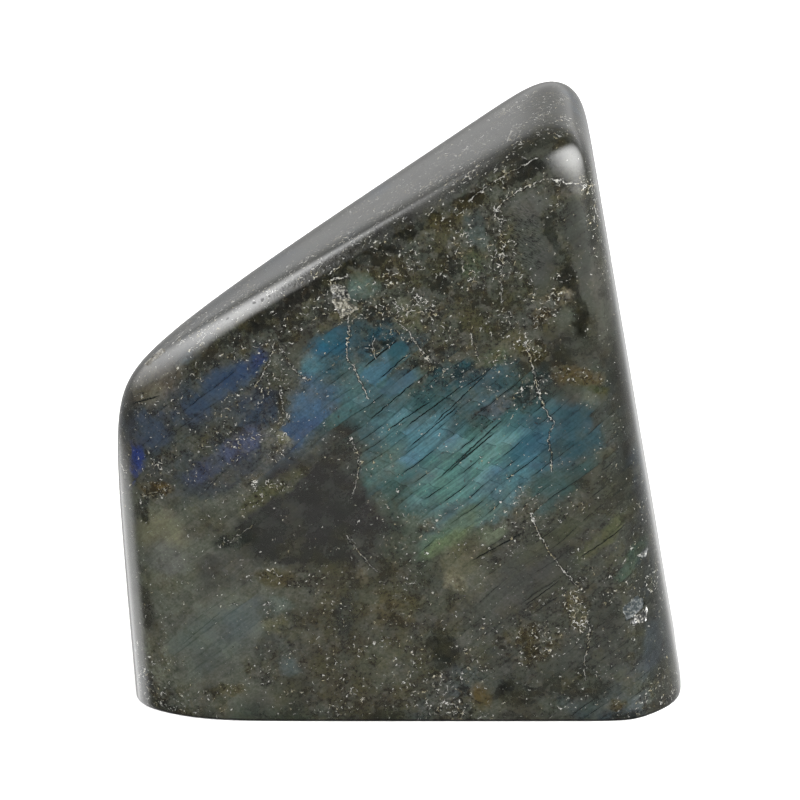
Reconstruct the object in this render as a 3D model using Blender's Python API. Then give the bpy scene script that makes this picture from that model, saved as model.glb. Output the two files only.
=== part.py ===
# A polished labradorite freeform that stands by itself: one stone, ground to a few broad faces with
# softly rounded edges, and sawn level underneath. Metres, +Z up, front towards -Y, and the origin at
# the middle of the base.

import math
from collections import namedtuple

import bmesh
import bpy
import numpy as np

MM = 0.001
TINY = 1e-6

# The broad faces, each ground flat. A bearing is the way that a face looks, seen from above: 0 is the
# front, 90 the right, 180 the back and 270 the left. The lean is how far it tips up towards the sky,
# and a negative one overhangs. The depth is how far it lies from the stone's heart, and the softness
# is how widely it rounds into its neighbours: a square edge between two faces gets a radius of about
# 2.4 times their softness.
Face = namedtuple("Face", "bearing_deg lean_deg depth_mm softness_mm")
HEART_MM = (5.0, 18.0, 42.0)
FACES = {
    "front": Face(0.0, 0.7, 18.0, 1.8),
    "front_left": Face(-29.5, 0.0, 35.8, 2.0),
    "front_right": Face(43.0, 4.6, 34.6, 1.0),
    "right": Face(90.0, 10.0, 36.3, 2.7),
    "back": Face(198.0, 1.0, 14.4, 2.5),
    "left": Face(270.0, -3.9, 54.0, 2.0),
    "shoulder": Face(270.0, 34.7, 54.1, 4.3),
    "top": Face(269.6, 58.8, 44.9, 2.2),
    "crest": Face(90.0, 68.4, 67.6, 1.5),
}

# The rough block that the faces are ground from. Its corners lie just outside the stone's own, so that
# rows of points on it come to lie along the stone's edges: its right side leans in to the peak, its
# back runs aslant from left to right, and its top slopes down to the left.
BLOCK_LEFT_MM = -52.0
BLOCK_RIGHT_MM = 52.0
BLOCK_PEAK_MM = 38.0
BLOCK_FRONT_MM = -3.0
BLOCK_BACK_LEFT_MM = 18.0
BLOCK_BACK_RIGHT_MM = 50.0
BLOCK_BASE_MM = -2.0
BLOCK_TOP_LEFT_MM = 66.0
BLOCK_TOP_RIGHT_MM = 112.0

# How many faces the block's surface has along X, Y and Z, and how strongly its rows crowd together
# towards the rounded edges, from 0, evenly spaced, to 1.
DIVISIONS = (28, 14, 28)
EDGE_CROWDING = 0.65

# Grinding moves the block's points outwards from an upright core that ends at the heart, within this
# reach, and halves the gap between inside and outside this many times.
CORE_BOTTOM_MM = 3.0
REACH_MM = 140.0
GRIND_STEPS = 40

# The worn rim around the sawn base, a quarter round of this radius.
RIM_RADIUS_MM = 0.5
RIM_SEGMENTS = 2

# Edges sharper than this stay sharp in the shading: only the rim of the base does.
SHARP_ANGLE_DEG = 40.0

# The stone's mean colour and its polish.
STONE_COLOUR = (0.055, 0.062, 0.058, 1.0)
STONE_ROUGHNESS = 0.12
STONE_METALLIC = 0.0
STONE_IOR = 1.56


def clear_scene():
    for old in list(bpy.data.objects):
        bpy.data.objects.remove(old, do_unlink=True)


def face_normal(face):
    bearing = math.radians(face.bearing_deg)
    lean = math.radians(face.lean_deg)
    return (
        math.sin(bearing) * math.cos(lean),
        -math.cos(bearing) * math.cos(lean),
        math.sin(lean),
    )


def height_over_faces(points_mm):
    """How far points lie outside the stone, as a smooth maximum over its faces: 0 on the surface."""
    normals = np.array([face_normal(face) for face in FACES.values()])
    depths = np.array([face.depth_mm for face in FACES.values()])
    softness = np.array([face.softness_mm for face in FACES.values()])
    heights = ((points_mm - HEART_MM) @ normals.T - depths) / softness
    highest = heights.max(axis=1)
    return highest + np.log(np.exp(heights - highest[:, None]).sum(axis=1))


def grind(points_mm):
    """Moves each point along its line from the core, an upright line in the stone, onto the surface."""
    core = np.tile(HEART_MM, (len(points_mm), 1))
    core[:, 2] = np.clip(points_mm[:, 2], CORE_BOTTOM_MM, HEART_MM[2])
    lines = points_mm - core
    lines /= np.linalg.norm(lines, axis=1)[:, None]
    inside = np.zeros(len(lines))
    outside = np.full(len(lines), REACH_MM)
    for _ in range(GRIND_STEPS):
        middle = (inside + outside) / 2
        out = height_over_faces(core + lines * middle[:, None]) > 0
        outside = np.where(out, middle, outside)
        inside = np.where(out, inside, middle)
    return core + lines * ((inside + outside) / 2)[:, None]


def crowded_at_ends(share):
    """Turns an even share along the block, 0 to 1, into one whose rows lie closer at both ends."""
    return (1 - EDGE_CROWDING) * share + EDGE_CROWDING * (1 - math.cos(share * math.pi)) / 2


def crowded_at_top(share):
    """Turns an even share up the block, 0 to 1, into one whose rows lie closer at its top."""
    return (1 - EDGE_CROWDING) * share + EDGE_CROWDING * math.sin(share * math.pi / 2)


def place_on_block(share):
    """A point of the cube from 0 to 1, placed on the rough block."""
    x = crowded_at_ends(share.x)
    y = crowded_at_ends(share.y)
    z = crowded_at_top(share.z)
    right = BLOCK_RIGHT_MM + (BLOCK_PEAK_MM - BLOCK_RIGHT_MM) * z
    back = BLOCK_BACK_LEFT_MM + (BLOCK_BACK_RIGHT_MM - BLOCK_BACK_LEFT_MM) * x
    top = BLOCK_TOP_LEFT_MM + (BLOCK_TOP_RIGHT_MM - BLOCK_TOP_LEFT_MM) * x
    return (
        BLOCK_LEFT_MM + (right - BLOCK_LEFT_MM) * x,
        BLOCK_FRONT_MM + (back - BLOCK_FRONT_MM) * y,
        BLOCK_BASE_MM + (top - BLOCK_BASE_MM) * z,
    )


def divided_cube(mesh):
    """A cube from 0 to 1, its edges along X, Y and Z divided by DIVISIONS."""
    bmesh.ops.create_cube(mesh, size=1.0)
    bmesh.ops.translate(mesh, verts=mesh.verts, vec=(0.5, 0.5, 0.5))
    for axis, divisions in enumerate(DIVISIONS):
        along = [edge for edge in mesh.edges if abs(edge.verts[0].co[axis] - edge.verts[1].co[axis]) > TINY]
        bmesh.ops.subdivide_edges(mesh, edges=along, cuts=divisions - 1, use_grid_fill=True)


def saw_base(mesh):
    """Cuts the stone off level just above its base, and closes it down to the base with a rounded rim."""
    everything = mesh.verts[:] + mesh.edges[:] + mesh.faces[:]
    cut = bmesh.ops.bisect_plane(
        mesh,
        geom=everything,
        dist=TINY,
        plane_co=(0, 0, RIM_RADIUS_MM * MM),
        plane_no=(0, 0, 1),
        clear_inner=True,
    )
    rim = [item for item in cut["geom_cut"] if isinstance(item, bmesh.types.BMEdge)]
    base = bmesh.ops.contextual_create(mesh, geom=rim)["faces"]
    inward, down = 0.0, 0.0
    for segment in range(1, RIM_SEGMENTS + 1):
        turn = math.pi / 2 * segment / RIM_SEGMENTS
        next_inward = RIM_RADIUS_MM * MM * (1 - math.cos(turn))
        next_down = RIM_RADIUS_MM * MM * math.sin(turn)
        bmesh.ops.inset_region(
            mesh, faces=base, thickness=next_inward - inward, depth=next_down - down, use_even_offset=True
        )
        inward, down = next_inward, next_down


def centre_on_base(mesh):
    """Brings the middle of the stone's box, at its base, to the origin."""
    places = np.array([vertex.co[:] for vertex in mesh.verts])
    middle = (places.min(axis=0) + places.max(axis=0)) / 2
    bmesh.ops.translate(mesh, verts=mesh.verts, vec=(-middle[0], -middle[1], -places[:, 2].min()))


def stone_material():
    material = bpy.data.materials.new("polished_labradorite")
    material.use_nodes = True
    material.diffuse_color = STONE_COLOUR
    shader = material.node_tree.nodes["Principled BSDF"]
    shader.inputs["Base Color"].default_value = STONE_COLOUR
    shader.inputs["Roughness"].default_value = STONE_ROUGHNESS
    shader.inputs["Metallic"].default_value = STONE_METALLIC
    shader.inputs["IOR"].default_value = STONE_IOR
    return material


def make_stone():
    mesh = bmesh.new()
    divided_cube(mesh)
    block = np.array([place_on_block(vertex.co) for vertex in mesh.verts])
    for vertex, place in zip(mesh.verts, grind(block)):
        vertex.co = place * MM
    saw_base(mesh)
    centre_on_base(mesh)
    bmesh.ops.recalc_face_normals(mesh, faces=mesh.faces)
    data = bpy.data.meshes.new("labradorite_stone")
    mesh.to_mesh(data)
    mesh.free()
    data.shade_smooth()
    data.set_sharp_from_angle(angle=math.radians(SHARP_ANGLE_DEG))
    data.materials.append(stone_material())
    stone = bpy.data.objects.new("labradorite_stone", data)
    bpy.context.scene.collection.objects.link(stone)
    return stone


clear_scene()
make_stone()
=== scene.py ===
# A polished labradorite freeform: the stone's fine surface with its chips, the stone inside it with its
# blue and teal flashes, cleavage lines and healed cracks, and a small studio. Metres, +Z up, front
# towards -Y. The dictionaries hold what a user would change, in millimetres and degrees unless they say
# otherwise.

import math

import bmesh
import bpy
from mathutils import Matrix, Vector, noise


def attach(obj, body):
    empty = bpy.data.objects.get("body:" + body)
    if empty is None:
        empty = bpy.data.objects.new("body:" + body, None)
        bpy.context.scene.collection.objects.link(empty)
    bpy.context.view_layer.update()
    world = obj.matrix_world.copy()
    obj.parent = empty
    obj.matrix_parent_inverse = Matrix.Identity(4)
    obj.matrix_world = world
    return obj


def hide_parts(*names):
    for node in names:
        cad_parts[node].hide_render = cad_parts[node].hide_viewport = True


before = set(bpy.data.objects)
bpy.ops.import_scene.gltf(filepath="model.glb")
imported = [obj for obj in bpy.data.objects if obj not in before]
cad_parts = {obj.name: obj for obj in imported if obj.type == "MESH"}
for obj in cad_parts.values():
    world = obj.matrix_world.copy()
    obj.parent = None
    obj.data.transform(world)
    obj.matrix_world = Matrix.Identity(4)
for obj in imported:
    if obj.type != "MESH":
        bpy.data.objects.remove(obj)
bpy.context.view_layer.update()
print("frame loaded")

mm = 0.001
cadNode = "labradorite_stone"


# Camera, floor and lights

camera = {
    "target": (-0.526, -22.49, 59.248),
    "elevation": 22.0,
    "distance": 750.0,
    "lens": 202.5,
    "sensor": 36.0,
    "clip": (10.0, 20000.0),
}

# "lift" is a faint glow of the floor's own, which keeps the stone's shadow on it pale
floorPlan = {"radius": 850.0, "corners": 96, "colour": "efefee", "roughness": 0.9, "lift": 0.3}

# Bearing 0 is the front, 90 the right and -90 the left, as seen from the stone. "glow" and "glowBelow" are
# how bright a box is at its upper and lower edge, where white paper in the same light would be about 1,
# "rise" bends the way between them, and "edges" is the share of its width and height over which it fades.
softboxes = {
    "leftSoftbox": {"bearing": -92.0, "elevation": 23.0, "distance": 800.0, "size": (2200.0, 770.0),
                    "glow": 12.5, "glowBelow": 1.0, "rise": 1.4, "edges": (0.5, 0.1)},
    "rightSoftbox": {"bearing": 62.0, "elevation": 24.0, "distance": 800.0, "size": (2600.0, 1150.0),
                     "glow": 11.6, "glowBelow": 11.6, "rise": 1.0, "edges": (0.5, 0.42)},
}

# What the polish mirrors: how bright the room is from straight below (0) over the horizon (0.5) to
# straight above (1), how dark it is at the front, where the camera stands, and a card low on the left.
# "from" and "to" say how squarely a ray has to meet the card, and "below" how low it has to point.
# "softLight" is how bright the room is for everything but the polish.
room = {
    "heights": ((0.0, 0.4), (0.2, 0.5), (0.27, 0.9), (0.31, 0.85), (0.35, 0.6), (0.42, 0.55), (0.48, 0.55),
                (0.52, 0.6), (0.58, 1.05), (0.62, 0.8), (0.66, 0.7), (0.7, 0.45), (0.74, 0.35), (1.0, 0.35)),
    "brightest": 3.0,
    "frontDark": 0.03,
    "frontFrom": -0.35,
    "frontTo": 0.9,
    "lowCard": {"bearing": -114.0, "elevation": -27.0, "from": 0.84, "to": 0.97, "below": (-0.32, -0.42),
                "glow": 2.5},
    "softLight": 0.2,
}


def paint(hexColour, share=1.0):
    # A colour as a painter picks it, six hexadecimal digits, turned into Blender's linear light
    parts = [int(hexColour[i:i + 2], 16) / 255 for i in (0, 2, 4)]
    linear = [c / 12.92 if c <= 0.04045 else ((c + 0.055) / 1.055) ** 2.4 for c in parts]
    return tuple(share * c for c in linear) + (1.0,)


def towards(bearing, elevation):
    b, e = math.radians(bearing), math.radians(elevation)
    return Vector((math.sin(b) * math.cos(e), -math.cos(b) * math.cos(e), math.sin(e)))


def link(obj):
    bpy.context.scene.collection.objects.link(obj)
    return obj


def selectOnly(obj):
    bpy.ops.object.select_all(action="DESELECT")
    obj.select_set(True)
    bpy.context.view_layer.objects.active = obj


def makeCamera():
    data = bpy.data.cameras.new("photoCamera")
    data.sensor_width = camera["sensor"]
    data.lens = camera["lens"]
    data.clip_start, data.clip_end = (clip * mm for clip in camera["clip"])
    eye = link(bpy.data.objects.new("photoCamera", data))
    back = towards(0.0, camera["elevation"])
    eye.location = Vector(camera["target"]) * mm + back * camera["distance"] * mm
    eye.rotation_euler = (-back).to_track_quat("-Z", "Y").to_euler()
    bpy.context.scene.camera = eye


def shapeGlow(data, box):
    # A box glows evenly but for its edges, or more at its upper edge than at its lower one
    data.use_nodes = True
    tree = data.node_tree
    lit = tree.nodes.new("ShaderNodeNewGeometry")
    across, up, _ = threeParts(tree, lit.outputs["Parametric"])
    risen = calc(tree, "POWER", up, box["rise"])
    level = timesPlus(tree, risen, box["glow"] - box["glowBelow"], box["glowBelow"])
    for share, edge in ((across, box["edges"][0]), (up, box["edges"][1])):
        off = calc(tree, "ABSOLUTE", minus(tree, share, 0.5))
        level = times(tree, level, fade(tree, off, 0.5, 0.5 - edge))
    tree.links.new(level, tree.nodes["Emission"].inputs["Strength"])


def makeSoftbox(name, box):
    data = bpy.data.lights.new(name, "AREA")
    data.shape = "RECTANGLE"
    data.size, data.size_y = (side * mm for side in box["size"])
    data.energy = math.pi * data.size * data.size_y  # a brightness of 1, which the glow multiplies
    shapeGlow(data, box)
    lamp = link(bpy.data.objects.new(name, data))
    out = towards(box["bearing"], box["elevation"])
    middle = Vector((0, 0, camera["target"][2] * mm))
    lamp.location = middle + out * box["distance"] * mm
    lamp.rotation_euler = (-out).to_track_quat("-Z", "Y").to_euler()
    lamp.visible_camera = False


def makeRoom():
    world = bpy.data.worlds.new("paleStudio")
    bpy.context.scene.world = world
    world.use_nodes = True
    tree = world.node_tree
    light = tree.nodes["Background"]
    light.inputs["Color"].default_value = (1.0, 1.0, 1.0, 1.0)
    place = tree.nodes.new("ShaderNodeTexCoord")
    parts = tree.nodes.new("ShaderNodeSeparateXYZ")
    tree.links.new(place.outputs["Generated"], parts.inputs[0])
    height = timesPlus(tree, parts.outputs["Z"], 0.5, 0.5)
    ramp = tree.nodes.new("ShaderNodeFloatCurve")
    setCurve(ramp, [(at, level / room["brightest"]) for at, level in room["heights"]])
    tree.links.new(height, ramp.inputs["Value"])
    front = fade(tree, parts.outputs["Y"], room["frontFrom"], room["frontTo"], room["frontDark"], 1.0)
    mirrored = times(tree, times(tree, ramp.outputs[0], room["brightest"]), front)
    card = room["lowCard"]
    way = towards(card["bearing"], card["elevation"])
    facing = calcVector(tree, "DOT_PRODUCT", place.outputs["Generated"], way)
    glow = fade(tree, facing, card["from"], card["to"], 0.0, card["glow"])
    glow = times(tree, glow, fade(tree, parts.outputs["Z"], *card["below"]))
    mirrored = plus(tree, mirrored, glow)
    path = tree.nodes.new("ShaderNodeLightPath")
    lit = mixValue(tree, path.outputs["Is Glossy Ray"], room["softLight"], mirrored)
    seen = mixValue(tree, path.outputs["Is Camera Ray"], lit, 1.0)
    tree.links.new(seen, light.inputs["Strength"])


def makeFloor():
    bpy.ops.object.select_all(action="DESELECT")
    bpy.ops.mesh.primitive_circle_add(
        vertices=floorPlan["corners"], radius=floorPlan["radius"] * mm, fill_type="NGON", location=(0, 0, 0)
    )
    floor = bpy.context.object
    floor.name = "paleFloor"
    matte = bpy.data.materials.new("matteWhite")
    matte.use_nodes = True
    shader = matte.node_tree.nodes["Principled BSDF"]
    shader.inputs["Base Color"].default_value = paint(floorPlan["colour"])
    shader.inputs["Emission Color"].default_value = paint(floorPlan["colour"])
    shader.inputs["Emission Strength"].default_value = floorPlan["lift"]
    shader.inputs["Roughness"].default_value = floorPlan["roughness"]
    floor.data.materials.append(matte)
    floor.visible_glossy = False  # the room's lower half stands for it in the stone's polish


# Node helpers: a value may be a number or another node's output

def feed(tree, socket, value):
    if isinstance(value, bpy.types.NodeSocket):
        tree.links.new(value, socket)
    else:
        socket.default_value = value


def calc(tree, operation, *values, clamp=False):
    node = tree.nodes.new("ShaderNodeMath")
    node.operation = operation
    node.use_clamp = clamp
    for socket, value in zip(node.inputs, values):
        feed(tree, socket, value)
    return node.outputs[0]


def times(tree, a, b, clamp=False):
    return calc(tree, "MULTIPLY", a, b, clamp=clamp)


def plus(tree, a, b):
    return calc(tree, "ADD", a, b)


def minus(tree, a, b, clamp=False):
    return calc(tree, "SUBTRACT", a, b, clamp=clamp)


def timesPlus(tree, a, b, c):
    return calc(tree, "MULTIPLY_ADD", a, b, c)


def larger(tree, a, b):
    return calc(tree, "MAXIMUM", a, b)


def swung(tree, share, swing):
    # A share from 0 to 1 as a swing around 0
    return times(tree, minus(tree, share, 0.5), swing)


def calcVector(tree, operation, *values):
    node = tree.nodes.new("ShaderNodeVectorMath")
    node.operation = operation
    for socket, value in zip(node.inputs, values):
        feed(tree, socket, value)
    return node.outputs["Value" if operation in ("DOT_PRODUCT", "LENGTH", "DISTANCE") else "Vector"]


def scaled(tree, vector, factor):
    node = tree.nodes.new("ShaderNodeVectorMath")
    node.operation = "SCALE"
    feed(tree, node.inputs[0], vector)
    feed(tree, node.inputs["Scale"], factor)
    return node.outputs["Vector"]


def pushed(tree, place, way, amount):
    return calcVector(tree, "ADD", place, scaled(tree, way, amount))


def fade(tree, value, start, end, low=0.0, high=1.0):
    # Runs smoothly from low to high as value goes from start to end
    node = tree.nodes.new("ShaderNodeMapRange")
    node.interpolation_type = "SMOOTHSTEP"
    node.clamp = False  # a smooth step stays between its ends by itself
    ends = {"Value": value, "From Min": start, "From Max": end, "To Min": low, "To Max": high}
    for name, number in ends.items():
        feed(tree, node.inputs[name], number)
    return node.outputs["Result"]


def thinLine(tree, off, width, core=0.25):
    # A line from how far off it is: full up to a share of its half width, and gone at all of it
    return fade(tree, off, width, times(tree, width, core))


def mixNode(tree, kind, factor, a, b, blend="MIX"):
    node = tree.nodes.new("ShaderNodeMix")
    node.data_type = kind
    if kind == "RGBA":
        node.blend_type = blend
    suffix = {"FLOAT": "Float", "VECTOR": "Vector", "RGBA": "Color"}[kind]
    sockets = {socket.identifier: socket for socket in node.inputs}
    feed(tree, sockets["Factor_Float"], factor)
    feed(tree, sockets["A_" + suffix], a)
    feed(tree, sockets["B_" + suffix], b)
    return next(socket for socket in node.outputs if socket.identifier == "Result_" + suffix)


def mixValue(tree, factor, a, b):
    return mixNode(tree, "FLOAT", factor, a, b)


def mixColour(tree, factor, a, b, blend="MIX"):
    return mixNode(tree, "RGBA", factor, a, b, blend)


def noiseAt(tree, place, size, detail=2.0, roughness=0.5, output="Fac"):
    # Cloudy noise whose lumps are about this size, in the place's own units
    node = tree.nodes.new("ShaderNodeTexNoise")
    feed(tree, node.inputs["Vector"], place)
    node.inputs["Scale"].default_value = 1 / size
    node.inputs["Detail"].default_value = detail
    node.inputs["Roughness"].default_value = roughness
    return node.outputs[output]


def threeClouds(tree, place, size, detail=2.0, roughness=0.6):
    # Three clouds of the same size that don't follow one another
    return threeParts(tree, noiseAt(tree, place, size, detail, roughness, "Color"))


def wandering(tree, place, size, detail):
    # A way that changes from place to place, up to about half a unit long
    return calcVector(tree, "SUBTRACT", noiseAt(tree, place, size, detail, 0.65, "Color"), (0.5, 0.5, 0.5))


def turned(tree, place, angle):
    # The place with the front turned by this angle, so that what ran aslant runs level. No Mapping node
    # is used, as each one keeps room in Cycles' small stack, and a long chain of them ends in black.
    node = tree.nodes.new("ShaderNodeVectorRotate")
    node.rotation_type = "Y_AXIS"
    feed(tree, node.inputs["Vector"], place)
    feed(tree, node.inputs["Angle"], angle)
    return node.outputs[0]


def aroundMark(tree, place, middle, angle, halfSize):
    # The place as seen from a mark: 0 at its middle, and 1 at its end
    off = calcVector(tree, "SUBTRACT", place, middle)
    return calcVector(tree, "DIVIDE", turned(tree, off, angle), halfSize)


def threeParts(tree, vector):
    # All three have to be used: Cycles keeps room in its small stack for each one that isn't
    node = tree.nodes.new("ShaderNodeSeparateXYZ")
    tree.links.new(vector, node.inputs[0])
    return node.outputs["X"], node.outputs["Y"], node.outputs["Z"]


def combined(tree, x, y, z):
    node = tree.nodes.new("ShaderNodeCombineXYZ")
    for socket, value in zip(node.inputs, (x, y, z)):
        feed(tree, socket, value)
    return node.outputs[0]


def setCurve(node, points):
    curve = node.mapping.curves[0]
    curve.points[0].location = points[0]
    curve.points[-1].location = points[-1]
    for point in points[1:-1]:
        curve.points.new(*point)
    node.mapping.update()


def newGroup(name, inputs, outputs):
    # Inputs and outputs are (name, kind) pairs, and a kind is Float, Vector or Color
    group = bpy.data.node_groups.new(name, "ShaderNodeTree")
    for side, sockets in (("INPUT", inputs), ("OUTPUT", outputs)):
        for label, kind in sockets:
            group.interface.new_socket(name=label, in_out=side, socket_type="NodeSocket" + kind)
    entry = group.nodes.new("NodeGroupInput")
    leave = group.nodes.new("NodeGroupOutput")
    return group, entry.outputs, leave.inputs


def useGroup(tree, group, **values):
    # Words in a socket's name are joined by capitals here: halfSize feeds "Half Size"
    node = tree.nodes.new("ShaderNodeGroup")
    node.node_tree = group
    for key, value in values.items():
        label = "".join(" " + c if c.isupper() else c for c in key).title()
        feed(tree, node.inputs[label], value)
    return node.outputs


def onStone(obj, at):
    # A mark's place is written as the photo shows it, across and up on an upright sheet through the
    # camera's target. This is where the camera sees it on the stone, with the way that the stone faces.
    eye = Vector(camera["target"]) + towards(0.0, camera["elevation"]) * camera["distance"]
    sheet = Vector((at[0], camera["target"][1], at[1]))
    hit, point, normal, _ = obj.ray_cast(eye * mm, (sheet - eye).normalized())
    if not hit:
        raise ValueError(f"no stone at {at}")
    return point / mm, normal


def lineOnStone(obj, line):
    # The middle and half the length of a line between two places, with the ways along and across it
    (start, normal), (end, _) = onStone(obj, line[0]), onStone(obj, line[1])
    along = (end - start).normalized()
    return (start + end) / 2, (end - start).length / 2, along, along.cross(normal)


# Node groups

markSockets = [("Place", "Vector"), ("Middle", "Vector"), ("Turn", "Float"), ("Half Size", "Vector")]
edgeSockets = [("Edge", "Float"), ("Strength", "Float")]
lineSockets = [("Place", "Vector"), ("Middle", "Vector"), ("Along", "Vector"), ("Across", "Vector")]


def softEdge(group, reach, given):
    # As strong as the mark inside it, where reach is below 1, and 0 outside
    inner = minus(group, 1.0, given["Edge"])
    outer = plus(group, 1.0, given["Edge"])
    return fade(group, reach, outer, inner, 0.0, given["Strength"])


def makeSpotGroup():
    # A soft round or long patch of another colour
    group, given, out = newGroup("softSpot", markSockets + edgeSockets, [("Mask", "Float")])
    around = aroundMark(group, given["Place"], given["Middle"], given["Turn"], given["Half Size"])
    reach = calcVector(group, "LENGTH", around)
    group.links.new(softEdge(group, reach, given), out["Mask"])
    return group


def makeBlockGroup():
    # A patch with corners: the boxier the higher its squareness, and narrower upwards with its taper
    shapeSockets = [("Squareness", "Float"), ("Taper", "Float")]
    group, given, out = newGroup("squareBlock", markSockets + shapeSockets + edgeSockets, [("Mask", "Float")])
    around = aroundMark(group, given["Place"], given["Middle"], given["Turn"], given["Half Size"])
    u, y, v = threeParts(group, around)
    narrow = larger(group, minus(group, 1.0, times(group, given["Taper"], v)), 0.05)
    reach = 0.0
    for side in (calc(group, "DIVIDE", u, narrow), y, v):
        reach = plus(group, calc(group, "POWER", calc(group, "ABSOLUTE", side), given["Squareness"]), reach)
    reach = calc(group, "POWER", reach, calc(group, "DIVIDE", 1.0, given["Squareness"]))
    group.links.new(softEdge(group, reach, given), out["Mask"])
    return group


def makeCrackGroup():
    # A thin crooked line from end to end, with a bow to one side, an S-shaped sway, and a halo of grains
    shapeSockets = [(label, "Float") for label in ("Half Length", "Bow", "Sway", "Width", "Halo")]
    group, given, out = newGroup(
        "healedCrack", lineSockets + shapeSockets, [("Line", "Float"), ("Rim", "Float"), ("Near", "Float")]
    )
    off = calcVector(group, "SUBTRACT", given["Place"], given["Middle"])
    along = calc(group, "DIVIDE", calcVector(group, "DOT_PRODUCT", off, given["Along"]), given["Half Length"])
    v = calcVector(group, "DOT_PRODUCT", off, given["Across"])
    inMiddle = minus(group, 1.0, times(group, along, along))  # 0 at both ends
    bend = timesPlus(group, times(group, given["Sway"], along), 2.6, given["Bow"])  # 2.6 makes the S full
    off = calc(group, "ABSOLUTE", minus(group, v, times(group, bend, inMiddle)))
    ends = fade(group, inMiddle, -0.02, 0.12)
    line = thinLine(group, off, given["Width"])
    rim = fade(group, off, times(group, given["Width"], 3.5), given["Width"])
    near = fade(group, off, given["Halo"], 0.0)
    for label, mask in (("Rim", rim), ("Line", line), ("Near", near)):
        group.links.new(times(group, mask, ends), out[label])
    return group


def makeSplitGroup():
    # A straight dark line that thins out towards its ends: "Along" reaches to them
    group, given, out = newGroup("longSplit", lineSockets + [("Width", "Float")], [("Line", "Float")])
    off = calcVector(group, "SUBTRACT", given["Place"], given["Middle"])
    along = calc(group, "ABSOLUTE", calcVector(group, "DOT_PRODUCT", off, given["Along"]))
    across = calc(group, "ABSOLUTE", calcVector(group, "DOT_PRODUCT", off, given["Across"]))
    line = thinLine(group, across, given["Width"])
    group.links.new(times(group, line, fade(group, along, 1.0, 0.6)), out["Line"])
    return group


def unevenStripes(group, along, spacing):
    # How far a place is from the next border between stripes, the stripe's own share from 0 to 1, and
    # how far the place lies to one side of the stripe's middle
    w = calc(group, "DIVIDE", along, spacing)
    nodes = []
    for feature in ("DISTANCE_TO_EDGE", "F1"):
        node = group.nodes.new("ShaderNodeTexVoronoi")
        node.voronoi_dimensions = "1D"
        node.feature = feature
        node.inputs["Scale"].default_value = 1.0
        group.links.new(w, node.inputs["W"])
        nodes.append(node)
    border, stripe = nodes
    share = calcVector(group, "DOT_PRODUCT", stripe.outputs["Color"], (1.0, 0.0, 0.0))
    slope = minus(group, w, stripe.outputs["W"])
    return times(group, border.outputs["Distance"], spacing), share, slope


# The planes along which the stone cleaves: "spacing" is how far apart they are, "brick" how long the
# bricks between them are, and "lean" how far they lean back into the stone. They bend slowly and waver a
# little: each of these is how long and how much.
cleavagePlanes = {"turn": 41.0, "spacing": 2.2, "brick": 5.0, "width": 0.15, "lean": 0.35,
                  "bend": (16.0, 3.0), "waver": (1.6, 0.35)}


def makeCleavageGroup():
    # Parallel splits at uneven distances, with shorter ones across them, so that the stone looks built
    # of long bricks, each with its own share from 0 to 1
    taken = [("Place", "Vector"), *((label, "Float") for label in ("Turn", "Spacing", "Brick", "Width"))]
    shares = [(label, "Float") for label in ("Lines", "Stripe Share", "Brick Share", "Slope", "Streaks")]
    group, given, out = newGroup("cleavage", taken, shares + [("Shift", "Vector")])
    u, y, v = threeParts(group, turned(group, given["Place"], given["Turn"]))
    v = timesPlus(group, y, cleavagePlanes["lean"], v)
    bendLength, bend = cleavagePlanes["bend"]
    waverLength, waver = cleavagePlanes["waver"]
    lazy = noiseAt(group, given["Place"], bendLength, 1.0)
    quick = noiseAt(group, given["Place"], waverLength, 2.0)
    v = timesPlus(group, quick, waver, timesPlus(group, lazy, bend, v))
    gap, stripe, slope = unevenStripes(group, v, given["Spacing"])
    slanted = timesPlus(group, v, 0.45, timesPlus(group, quick, 1.2, u))
    slanted = timesPlus(group, stripe, 311.0, slanted)  # no stripe's bricks line up with its neighbour's
    crossGap, brick, crossSlope = unevenStripes(group, slanted, given["Brick"])
    along = combined(group, times(group, u, 0.13), y, times(group, v, 0.5))
    runs = noiseAt(group, along, 1.0, 2.0, 0.6)
    sharp = thinLine(group, gap, given["Width"])
    soft = fade(group, gap, times(group, given["Width"], 4.0), 0.0, 0.0, 0.3)
    long = times(group, larger(group, sharp, soft), fade(group, runs, 0.4, 0.62))
    cross = thinLine(group, crossGap, times(group, given["Width"], 0.8), 0.3)
    cross = times(group, cross, fade(group, runs, 0.62, 0.45, 0.0, 0.45))
    group.links.new(larger(group, long, cross), out["Lines"])
    group.links.new(stripe, out["Stripe Share"])
    group.links.new(brick, out["Brick Share"])
    group.links.new(timesPlus(group, crossSlope, -0.5, slope), out["Slope"])
    fine = combined(group, times(group, u, 0.22), y, times(group, v, 3.4))
    group.links.new(noiseAt(group, fine, 1.0, 2.0, 0.6), out["Streaks"])
    shift = combined(group, minus(group, stripe, 0.5), 0.0, 0.0)
    group.links.new(turned(group, shift, times(group, given["Turn"], -1.0)), out["Shift"])
    return group


# Painted glints: dots and dashes painted into the colour where the stone catches the light. The dashes run
# along the borders of cells, broken by pieces. A pair of levels is where a noise starts to show and where it
# is full, and a pair of widths is where a dash, or the painted shade beside it, ends and where it is full.
glintShape = {"dotSize": 0.28, "dotLevels": (0.85, 0.89), "dotStrength": 0.8, "cellSize": 1.1,
              "pieceSize": 0.55, "pieceLevels": (0.62, 0.68), "dashWidths": (0.06, 0.02),
              "shadeWidths": (0.18, 0.06)}


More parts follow.
